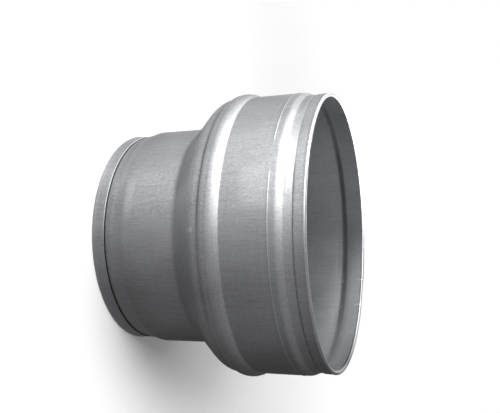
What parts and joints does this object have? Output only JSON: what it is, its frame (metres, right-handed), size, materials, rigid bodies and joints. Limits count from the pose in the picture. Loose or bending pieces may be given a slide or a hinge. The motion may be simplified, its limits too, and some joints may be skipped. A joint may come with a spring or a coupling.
{
  "type": "duct reducer",
  "caption": "Pressed sheet-steel duct reducer: a small and a large male spigot with folded hems, joined by a stepped shoulder with a round bead.",
  "frame": {"origin": "centre of the small rim, in the plane of the surface that the reducer stands on", "axes": "+Z along the duct axis, from the small rim up to the large rim; +X towards the side that the picture shows; the front seam is at -28.5 degrees from +X about +Z"},
  "size_m": [0.1274, 0.1274, 0.0964],
  "materials": {
    "galvanised_sheet": "satin galvanised steel sheet, fine grain along the axis"
  },
  "bodies": {
    "root": {"reducer_shell": "galvanised_sheet"}
  },
  "joints": []
}
